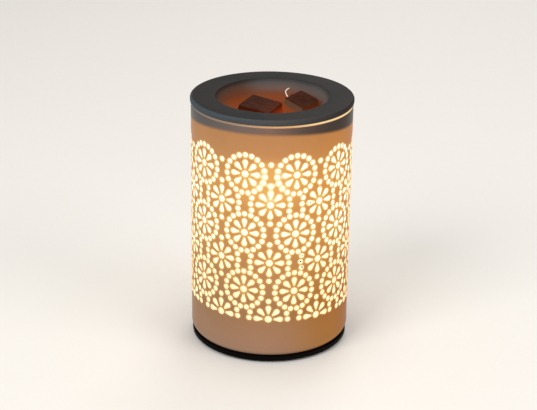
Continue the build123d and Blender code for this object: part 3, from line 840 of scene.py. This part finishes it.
glass = Finish("lamp glass", transmission_weight=1.0, ior=1.47, base_color=tint(252, 252, 250))
drawn = glass.noise(120, 2)
haze = glass.fade(glass.noise(90, 3), 0.45, 0.75)
glass.set(roughness=haze * 0.08 + 0.01)
glass.relief(drawn, depth=0.0001)
dress(glass, "lamp_glass")


def run_at(line, k):
    """The direction of a line at one of its points."""
    return (line[min(k + 1, len(line) - 1)] - line[max(k - 1, 0)]).normalized()


def tube(shell, line, radius, sides=8, end_share=0.6):
    """A round bar along a line of points, with narrower ends, laid without twist."""
    across = run_at(line, 0).orthogonal().normalized()
    turns = [2 * pi * k / sides for k in range(sides)]
    rings = []
    for k, where in enumerate(line):
        run = run_at(line, k)
        across = (across - run * across.dot(run)).normalized()
        over = run.cross(across)
        size = radius * (end_share if k in (0, len(line) - 1) else 1.0)
        rings.append([shell.place(where + (across * cos(t) + over * sin(t)) * size) for t in turns])
    for low, high in zip(rings, rings[1:]):
        shell.band(low, high)
    shell.face(rings[0][::-1])
    shell.face(rings[-1])


coil_low, coil_high = map(Vector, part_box("lamp_filament"))
coil_middle = (coil_low + coil_high) / 2
coil_turns, coil_steps, coil_wire = 15, 16, 0.0001
coil_radius = (coil_high.z - coil_low.z) / 2 - coil_wire
coil_reach = (coil_high.x - coil_low.x) / 2 - coil_wire
coil_line = []
for k in range(coil_turns * coil_steps + 1):
    share = k / (coil_turns * coil_steps)
    turn = 2 * pi * coil_turns * share
    along = coil_reach * (2 * share - 1)
    coil_line.append(coil_middle + Vector((along, coil_radius * sin(turn), coil_radius * cos(turn))))
tungsten = Finish("glowing tungsten", metallic=1.0, roughness=0.4, emission_strength=9.0)
heat = tungsten.noise(900, 2)
tungsten.set(
    base_color=tungsten.mix(heat, tint(92, 88, 84), tint(120, 116, 110)),
    emission_color=tungsten.mix(heat, tint(255, 190, 108), tint(255, 224, 160)),
)
tungsten.glow_only()
coil_shell = Shell()
tube(coil_shell, coil_line, coil_wire)
coil = coil_shell.finished("filament_coil", tungsten)
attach(coil, "lamp")
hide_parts("lamp_filament")


# Terminals: a translucent white block, moulded in nylon and screwed to the disc, and a brown and a
# blue lead from it up to the socket, each in a plastic sleeve.
polyamide = Finish("white polyamide", subsurface_weight=0.15, subsurface_scale=0.002)
flow = polyamide.noise(240, 3)
polyamide.set(
    base_color=polyamide.mix(flow, tint(224, 221, 210), tint(238, 236, 228)),
    roughness=flow * 0.2 + 0.4,
)
polyamide.relief(polyamide.noise(1600, 2), depth=0.00003)
dress(polyamide, "terminal_block")
for lead_name, low_shade, high_shade in (
    ("live_lead", tint(92, 52, 32), tint(112, 66, 42)),
    ("neutral_lead", tint(34, 74, 132), tint(48, 92, 152)),
):
    sleeve = Finish(lead_name.replace("_", " ") + " insulation", specular_ior_level=0.35)
    rub = sleeve.noise(1500, 3)
    sleeve.set(base_color=sleeve.mix(rub, low_shade, high_shade), roughness=rub * 0.25 + 0.35)
    sleeve.relief(rub, depth=0.00003)
    dress(sleeve, lead_name)


# Melt dish: a thick blue-grey glazed saucer with a deep bowl in it and a locating ring below,
# which rests on three silicone dots, so that a slit of light shows between it and the shade.
(_, _, dish_low), (dish_reach, _, dish_top) = corners_of("melt_dish")
dish_steps = 256
dish_inset, light_slit = 0.1, 0.6
dish_radius = dish_reach - dish_inset
flange_bottom = shade_top + light_slit
edge_round, lip_round, ring_round = 1.4, 1.6, 0.4
dish_wall = 3.0
bowl_radius, bowl_flat, bowl_curve = 33.6, 14.0, 20.72
bowl_floor = dish_low + dish_wall
ring_play, ring_wall, ring_height = 1.0, 2.5, 3.5
ring_outer = shade_inner_radius - ring_play
ring_inner = ring_outer - ring_wall
ring_bottom = flange_bottom - ring_height
lip_margin, bowl_margin = 4, 6


def rounded(corners, steps=7):
    """A profile of (radius, height, rounding) corners with each corner rounded by its own arc."""
    made = []
    for k, (across, up, rounding) in enumerate(corners):
        here = Vector((across, up))
        if not rounding:
            made.append((across, up))
            continue
        before = (Vector(corners[k - 1][:2]) - here).normalized()
        after = (Vector(corners[k + 1][:2]) - here).normalized()
        half = before.angle(after) / 2
        centre = here + (before + after).normalized() * rounding / sin(half)
        start = here + before * rounding / tan(half) - centre
        end = here + after * rounding / tan(half) - centre
        for step in range(steps + 1):
            heading = start.normalized().slerp(end.normalized(), step / steps)
            made.append(tuple(centre + heading * rounding))
    return made


def turned(shell, profile, count):
    """Turns an open profile of (radius, height) points round the axis; a zero radius is one point."""
    turns = [2 * pi * k / count for k in range(count)]
    rows = []
    for radius, up in profile:
        across = radius * mm
        if radius < same_place:
            rows.append([shell.place((0, 0, up * mm))] * count)
        else:
            rows.append([shell.place((across * sin(t), -across * cos(t), up * mm)) for t in turns])
    for low, high in zip(rows, rows[1:]):
        for k in range(count):
            nxt = (k + 1) % count
            shell.face(dict.fromkeys((low[k], low[nxt], high[nxt], high[k])))


def bowl_arc(radius, first, last, steps):
    """Points of the bowl's curve about its centre, with its turns in degrees."""
    return arc(bowl_flat, bowl_floor + bowl_curve, radius, first, last, steps)


under_turn = -degrees(asin((bowl_floor + bowl_curve - flange_bottom) / (bowl_curve + dish_wall)))
lip_turn = -degrees(asin((bowl_floor + bowl_curve - dish_top) / bowl_curve))
under = [(0, bowl_floor - dish_wall)] + bowl_arc(bowl_curve + dish_wall, -90, under_turn, 14)
flange = rounded([
    (*under[-1], 0),
    (ring_inner, flange_bottom, ring_round),
    (ring_inner, ring_bottom, ring_round),
    (ring_outer, ring_bottom, ring_round),
    (ring_outer, flange_bottom, ring_round),
    (dish_radius, flange_bottom, edge_round),
    (dish_radius, dish_top, edge_round),
    (bowl_radius, dish_top, lip_round),
    (*bowl_arc(bowl_curve, lip_turn - lip_margin, -90, 1)[0], 0),
])
bowl = bowl_arc(bowl_curve, lip_turn - bowl_margin, -90, 18)
bowl += [(bowl_flat / 2, bowl_floor), (0, bowl_floor)]
dish_shell = Shell()
turned(dish_shell, under + flange[1:] + bowl, dish_steps)

dish_glaze = Finish("blue grey glaze", roughness=0.5, specular_ior_level=0.03)
x, y, z = dish_glaze.axes()
distance = (x * x + y * y) ** 0.5
mottle = dish_glaze.fade(dish_glaze.noise(45, 3), 0.35, 0.65)
flat_shade = dish_glaze.mix(mottle, tint(34, 35, 35), tint(42, 39, 36))
# The rim's outer edge is painted light and shade: lighter and bluer at the left, darker and browner at
# the right.
edge_spread = 11.0
edge_light_and_shade = dish_glaze.ramp(
    x * edge_spread + 0.5,
    (0.0, tint(67, 76, 82)),
    (0.5, tint(72, 72, 72)),
    (1.0, tint(46, 40, 38)),
)
edge_distances, bowl_distances = (0.0466, 0.0482), (0.0345, 0.0325)
at_edge = dish_glaze.fade(distance, *edge_distances)
body_shade = dish_glaze.mix(at_edge, flat_shade, edge_light_and_shade)
bowl_height = (z - bowl_floor * mm) / ((dish_top - bowl_floor) * mm)
# The bowl's wall is painted darker and warmer towards its floor: painted shade and the lamp's light.
bowl_light_and_shade = dish_glaze.ramp(
    bowl_height,
    (0.0, tint(34, 14, 5)),
    (0.5, tint(56, 38, 28)),
    (0.8, tint(76, 70, 65)),
    (0.97, tint(52, 52, 52)),
)

# Painted light and shade: the bowl is browner and darker at its left, and its upper wall is painted
# paler at the back and at the right.
bowl_left, bowl_back, bowl_right = (-0.008, -0.022), (0.006, 0.024), (0.018, 0.03)
bowl_middle = (-0.018, -0.002)
at_left = dish_glaze.fade(x, *bowl_left)
bowl_light_and_shade = dish_glaze.mix(at_left, bowl_light_and_shade, tint(229, 195, 173), "MULTIPLY")
upper = dish_glaze.fade(bowl_height, 0.35, 0.7)
far_wall = dish_glaze.fade(y, *bowl_back) * dish_glaze.fade(x, *bowl_middle) * upper
bowl_light_and_shade = dish_glaze.mix(far_wall * 0.7, bowl_light_and_shade, tint(80, 78, 77))
right_wall = dish_glaze.fade(x, *bowl_right) * upper
bowl_light_and_shade = dish_glaze.mix(right_wall * 0.4, bowl_light_and_shade, tint(104, 100, 97))
in_bowl = dish_glaze.fade(distance, *bowl_distances)
body_shade = dish_glaze.mix(in_bowl, body_shade, bowl_light_and_shade)

# Warm light comes up through the bowl, strongest at its floor, less to the right and by the melts.
glow = dish_glaze.ramp(
    bowl_height + dish_glaze.noise(70, 2) * 0.14 - 0.07,
    (0.0, tint(132, 60, 22)),
    (0.3, tint(122, 56, 22)),
    (0.55, tint(86, 46, 28)),
    (0.8, tint(36, 24, 20)),
    (0.95, tint(0, 0, 0)),
)
glow_right, under_heights = (0.005, 0.03), (0.1493, 0.149)
shadow_across, shadow_along = (-0.008, 0.012), (0.008, -0.01)
less_glow = dish_glaze.fade(x, *glow_right) * 0.6
glow = dish_glaze.mix(less_glow, glow, tint(130, 110, 100), "MULTIPLY")
melt_shadow = dish_glaze.fade(x, *shadow_across) * dish_glaze.fade(y, *shadow_along)
glow = dish_glaze.mix(melt_shadow * 0.35, glow, dark)
dish_light = dish_glaze.mix(in_bowl, dark, glow)
under_light = dish_glaze.fade(z, *under_heights) * (1 - in_bowl)
dish_light = dish_glaze.mix(under_light * 0.6, dish_light, tint(255, 206, 140))
dish_glaze.set(base_color=body_shade, emission_color=dish_light, emission_strength=1.0)
dish_glaze.relief(dish_glaze.noise(120, 3) + dish_glaze.noise(1500, 1) * 0.1, depth=0.00008)
dish_glaze.glow_only()
dish = dish_shell.finished("dish_body", dish_glaze)
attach(dish, "dish")
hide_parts("melt_dish")


# Dish bumpers: three clear silicone dots, stuck into shallow seats under the dish. They stand on the
# rim of the cup and keep the slit of light open.
silicone = Finish("clear silicone", transmission_weight=0.85, ior=1.41)
skin = silicone.noise(2200, 2)
silicone.set(
    base_color=silicone.mix(skin, tint(226, 228, 226), tint(242, 243, 240)),
    roughness=skin * 0.2 + 0.2,
)
silicone.relief(skin, depth=0.00002)
dress(silicone, "dish_bumpers")


# Wax melts: two squares of brown scented wax, cast with sloping sides and softened by the heat.
# They lean on the bowl's curve, and their lower edges pass some of the warm light.
wax = Finish("brown scented wax", roughness=0.55, specular_ior_level=0.015)
x, _, z = wax.axes()
wax_cloud = wax.noise(260, 4)
wax_shade = wax.mix(wax.fade(wax_cloud, 0.3, 0.7), tint(50, 20, 7), tint(60, 28, 13))
bloom = wax.fade(wax.noise(700, 2), 0.62, 0.75)
wax_shade = wax.mix(bloom * 0.3, wax_shade, tint(84, 62, 50))
warm_heights, warm_left, warm_right = (0.1485, 0.141), (-0.012, 0.002), (0.012, 0.006)
low = wax.fade(z, *warm_heights)
warm_corner = wax.fade(x, *warm_left) * wax.fade(x, *warm_right)
wax_light = wax.mix(low * (warm_corner * 0.6 + 0.4), dark, tint(132, 42, 10))

# The two front sides of the right melt catch the light that the dish throws back.
right_melt_start, side_facings = (0.0062, 0.0072), (0.7, 1.2)
facing_x, facing_y, _ = wax.axes(wax.node("ShaderNodeNewGeometry", output="Normal"))
on_right = wax.fade(x, *right_melt_start)
left_facing = wax.fade(0 - facing_x - facing_y, *side_facings)
wax_light = wax.mix(on_right * left_facing, wax_light, tint(76, 62, 46), "ADD")
right_facing = wax.fade(facing_x - facing_y, *side_facings)
wax_light = wax.mix(on_right * right_facing, wax_light, tint(63, 33, 15), "ADD")
wax.set(base_color=wax_shade, emission_color=wax_light, emission_strength=1.0)
wax.relief(wax_cloud + wax.noise(900, 2) * 0.25, depth=0.00025)
wax.glow_only()


def made_mesh(source):
    """The mesh that an object makes with its modifiers, or a curve with its bends."""
    state = bpy.context.evaluated_depsgraph_get()
    return bpy.data.meshes.new_from_object(source.evaluated_get(state))


wax_voxel, sag_scale, sag_depth, sag_wave = 0.0003, 170.0, 0.00028, (1.0, 2.0, 3)
wax_drift = Random(4)
for melt_name, body_name in (("left_wax_melt", "left_melt"), ("right_wax_melt", "right_melt")):
    source = nodes[melt_name]
    block = bpy.data.objects.new(melt_name + "_block", source.data.copy())
    bpy.context.scene.collection.objects.link(block)
    for kind, settings in (
        ("REMESH", {"mode": "VOXEL", "voxel_size": wax_voxel, "use_smooth_shade": True}),
        ("SMOOTH", {"factor": 0.5, "iterations": 5}),
    ):
        step = block.modifiers.new(kind.lower(), kind)
        for key, value in settings.items():
            setattr(step, key, value)
    solid = made_mesh(block)
    block.modifiers.clear()
    block.data = solid
    solid.materials.clear()
    solid.materials.append(wax.material)
    wander = Vector([wax_drift.uniform(-1, 1) for _ in range(3)])
    moves = []
    for v in solid.vertices:
        sag = fractal(v.co * sag_scale + wander, *sag_wave) * 0.5 - 0.5
        moves.append(v.normal * sag_depth * sag)
    for v, move in zip(solid.vertices, moves):
        v.co += move
    solid.shade_smooth()
    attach(block, body_name)
    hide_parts(melt_name)


# Wick end: three cotton yarns twisted together and waxed. It is cast into the right melt and stands
# out of it in a curl.
wick_path = [Vector(p) * mm for p in (
    (10.5, 4.2, 148.5),
    (9.2, 6.4, 149.6),
    (7.5, 10.4, 150.7),
    (7.9, 13.5, 151.6),
    (10.0, 15.3, 152.2),
)]
wick_curve = bpy.data.curves.new("wick_line", "CURVE")
wick_curve.dimensions = "3D"
wick_curve.resolution_u = 12
wick_spline = wick_curve.splines.new("NURBS")
wick_spline.points.add(len(wick_path) - 1)
for knot, where in zip(wick_spline.points, wick_path):
    knot.co = (*where, 1)
wick_spline.order_u = 4
wick_spline.use_endpoint_u = True
wick_line = bpy.data.objects.new("wick_line", wick_curve)
bpy.context.scene.collection.objects.link(wick_line)
wick_run = [v.co.copy() for v in made_mesh(wick_line).vertices]
bpy.data.objects.remove(wick_line)


def beside(line, offset, turns_per_metre, phase):
    """A line that winds round another one at this offset."""
    across = (line[1] - line[0]).orthogonal().normalized()
    made, travelled = [], 0.0
    for k, where in enumerate(line):
        run = run_at(line, k)
        across = (across - run * across.dot(run)).normalized()
        travelled += (where - line[k - 1]).length if k else 0.0
        turn = phase + 2 * pi * turns_per_metre * travelled
        made.append(where + (across * cos(turn) + run.cross(across) * sin(turn)) * offset)
    return made


cotton = Finish("waxed cotton", roughness=0.6)
yarn = cotton.noise(2500, 3)
# The yarns are given a faint warm glow: painted warm light from the lit bowl.
cotton.set(
    base_color=cotton.mix(yarn, tint(205, 190, 170), tint(242, 232, 216)),
    emission_color=tint(90, 70, 50), emission_strength=1.0,
)
cotton.relief(yarn, depth=0.00006)
yarns, yarn_offset, yarn_radius, yarn_twist = 3, 0.00015, 0.00018, 420
wick_shell = Shell()
for yarn_number in range(yarns):
    phase = yarn_number * 2 * pi / yarns
    tube(wick_shell, beside(wick_run, yarn_offset, yarn_twist, phase), yarn_radius)
wick = wick_shell.finished("wick_yarns", cotton)
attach(wick, "right_melt")
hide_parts("wick_end")
